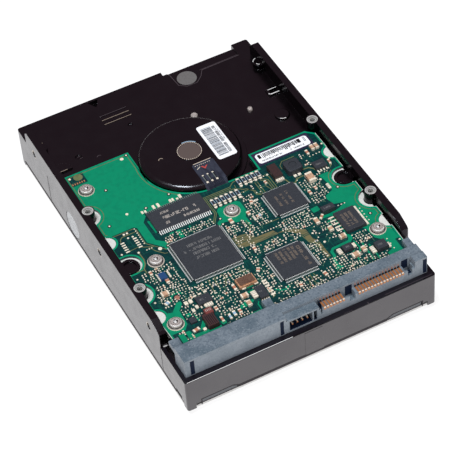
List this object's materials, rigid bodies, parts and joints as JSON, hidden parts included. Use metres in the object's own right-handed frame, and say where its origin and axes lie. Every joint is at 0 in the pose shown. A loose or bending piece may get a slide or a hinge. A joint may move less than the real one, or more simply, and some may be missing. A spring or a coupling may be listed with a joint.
{
  "type": "hard disk drive",
  "caption": "3.5-inch hard disk drive, circuit-board side up, with spinning disk pack and swinging head actuator inside a coated casting.",
  "frame": {"origin": "centre of the footprint, on the plane the cover's raised panel rests on", "axes": "+X across the drive (to the right seen from the connector end), +Y from the connector end to the far end, +Z out of the circuit-board side"},
  "size_m": [0.1016, 0.147, 0.0261],
  "materials": {
    "black_coat": "black semi-gloss coat on a die casting",
    "cover_metal": "brushed stamped aluminium",
    "gasket_rubber": "soft black elastomer",
    "screw_steel": "plated steel screws with turned rings",
    "white_sheet": "white insulating foam sheet",
    "board_green": "dark green solder mask over fibreglass",
    "chip_black": "fine-grained moulded epoxy",
    "tantalum_brown": "red-brown moulded capacitor case",
    "ceramic_beige": "beige sintered chip capacitors with tinned ends",
    "copper_gold": "gold-flashed copper alloy",
    "housing_blue_grey": "mottled blue-grey moulded plastic",
    "flex_film": "dark polyimide film",
    "label_paper": "coated white label",
    "seal_grey": "grey adhesive disc",
    "seal_silver": "pale foil disc",
    "bright_steel": "ground bearing steel",
    "nickel_plate": "nickel plated",
    "bare_aluminium": "machined aluminium",
    "platter_mirror": "polished disk surface",
    "filter_white": "white filter fleece"
  },
  "bodies": {
    "case": {"base_casting": "black_coat", "top_cover": "cover_metal", "cover_gasket": "gasket_rubber", "cover_screws": "screw_steel", "insulator_sheet": "white_sheet", "circuit_board": "board_green", "board_screws": "screw_steel", "controller_chip": "chip_black", "memory_chip": "chip_black", "interface_chip": "chip_black", "motor_driver_chip": "chip_black", "regulator_chip": "chip_black", "small_chips": "chip_black", "diodes": "chip_black", "tantalum_capacitors": "tantalum_brown", "ceramic_capacitors": "ceramic_beige", "resistor_arrays": "chip_black", "power_inductor": "chip_black", "oscillator_can": "copper_gold", "connector_housing": "housing_blue_grey", "connector_contacts": "copper_gold", "header_pins": "copper_gold", "motor_flex_strip": "flex_film", "dome_label": "label_paper", "board_label": "label_paper", "breather_seal": "seal_grey", "side_port_seal": "seal_silver", "locating_pins": "screw_steel", "bearing_sleeve": "bright_steel", "spindle_seal": "seal_grey", "stator_core": "bright_steel", "stator_coils": "copper_gold", "pivot_shaft": "bright_steel", "bearing_inner_rings": "bright_steel", "bearing_balls": "bright_steel", "upper_yoke_plate": "nickel_plate", "lower_yoke_plate": "nickel_plate", "voice_coil_magnets": "nickel_plate", "yoke_spacers": "bright_steel", "yoke_screws": "screw_steel", "crash_stops": "gasket_rubber", "bulkhead_connector": "chip_black", "flex_bracket": "chip_black", "head_flex_cable": "flex_film", "recirculation_filter": "filter_white", "desiccant_filter": "filter_white"},
    "spindle": {"spindle_shaft": "bright_steel", "spindle_hub": "bare_aluminium", "rotor_magnet": "nickel_plate", "platters": "platter_mirror", "platter_spacers": "bare_aluminium", "disk_clamp": "bright_steel", "clamp_screws": "screw_steel"},
    "actuator": {"actuator_arm_block": "bare_aluminium", "voice_coil": "copper_gold", "suspensions": "bright_steel", "head_sliders": "chip_black", "pivot_sleeve": "bright_steel", "bearing_outer_rings": "bright_steel"}
  },
  "joints": [
    {"name": "spindle_spin", "type": "hinge", "parent": "case", "child": "spindle", "pos_m": [0, 0.023, 0.012], "axis": [0, 0, 1], "continuous": true},
    {"name": "actuator_swing", "type": "hinge", "parent": "case", "child": "actuator", "pos_m": [-0.027, -0.026, 0.01], "axis": [0, 0, 1], "range_deg": [0, 30]}
  ]
}
